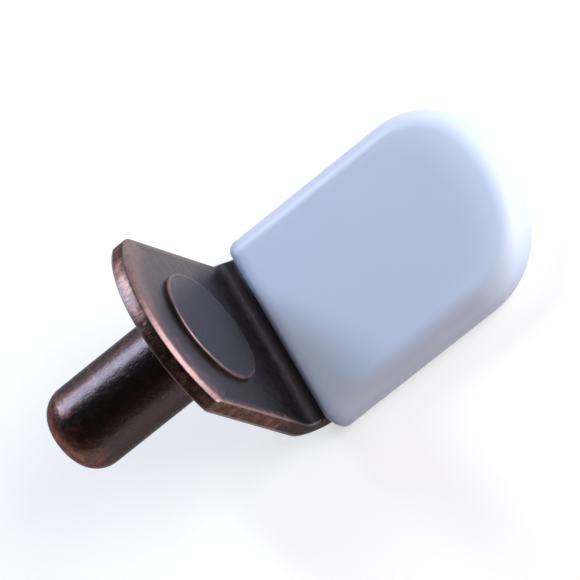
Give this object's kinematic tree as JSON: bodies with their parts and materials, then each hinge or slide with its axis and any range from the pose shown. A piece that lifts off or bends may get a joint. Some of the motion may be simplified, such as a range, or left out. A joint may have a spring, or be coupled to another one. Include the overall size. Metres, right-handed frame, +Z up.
{
  "type": "shelf support pin",
  "caption": "Angle shelf support: a round pin riveted to an upright plate with an arched top, and a flat tongue in a soft sleeve that the shelf rests on.",
  "frame": {"origin": "where the pin's axis crosses the plate's bearing face, which lies against the cabinet side", "axes": "-X along the pin into the cabinet side, +X along the tongue under the shelf, +Z up along the plate to its arched edge, +Y across the strip"},
  "size_m": [0.027, 0.0124, 0.0146],
  "materials": {
    "plated_strip": "steel with a dark antique copper plate, worn bright on the edges",
    "plated_pin": "turned steel with a dark antique copper plate",
    "soft_sleeve": "soft moulded plastic, milky and slightly see-through, satin"
  },
  "bodies": {
    "root": {"bracket": "plated_strip", "pin": "plated_pin", "sleeve": "soft_sleeve"}
  },
  "joints": []
}
